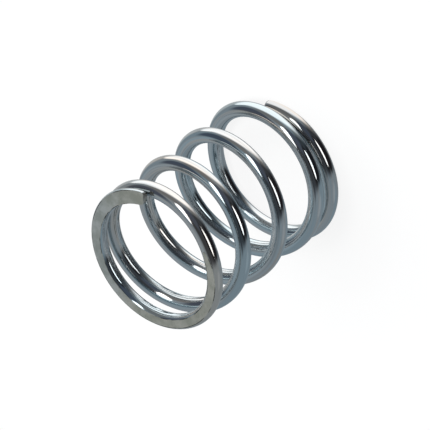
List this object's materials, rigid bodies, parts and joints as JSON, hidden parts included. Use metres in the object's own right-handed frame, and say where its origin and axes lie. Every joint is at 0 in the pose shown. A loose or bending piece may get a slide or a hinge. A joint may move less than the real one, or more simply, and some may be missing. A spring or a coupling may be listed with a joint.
{
  "type": "adjustment spring",
  "caption": "Helical compression spring of plated round wire, wound left-handed, with both ends closed and ground flat.",
  "frame": {"origin": "on the coil's axis, at the lower ground face", "axes": "+Z along the coil's axis towards the upper ground face; both cut tips lie on the +X side"},
  "size_m": [0.02, 0.02, 0.0256],
  "materials": {
    "zinc_plate": "bright zinc plate with a faint blue cast over spring steel wire, ground faces matt grey"
  },
  "bodies": {
    "root": {"coil_spring": "zinc_plate"}
  },
  "joints": []
}
